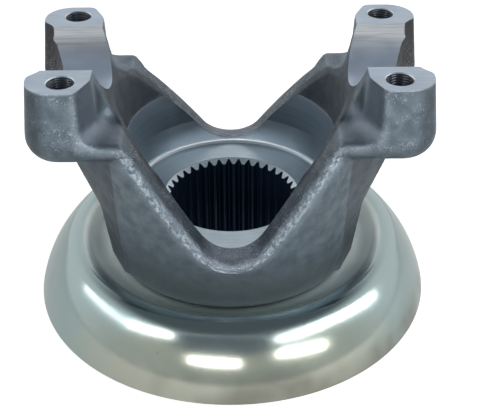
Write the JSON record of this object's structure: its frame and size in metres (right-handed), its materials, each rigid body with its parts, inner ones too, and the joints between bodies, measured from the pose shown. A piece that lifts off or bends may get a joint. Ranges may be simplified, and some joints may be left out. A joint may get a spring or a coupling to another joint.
{
  "type": "forged yoke",
  "caption": "Half-round end yoke for a drive shaft: forged arms with cup saddles and tapped ears, a splined bore in a deep cup, and a pressed sheet ring round the hub.",
  "frame": {"origin": "centre of the hub's end face, on the axis of the splined bore", "axes": "+Z along the bore axis from the hub to the ears, X across the two arms along the bearing cups, Y from front to back between the two ears of an arm"},
  "size_m": [0.2054, 0.2054, 0.148],
  "materials": {
    "forging": "blasted forging skin with machined ear tops, saddles and counterbore",
    "slinger": "smooth bright pressed sheet"
  },
  "bodies": {
    "root": {"yoke": "forging", "slinger": "slinger"}
  },
  "joints": []
}
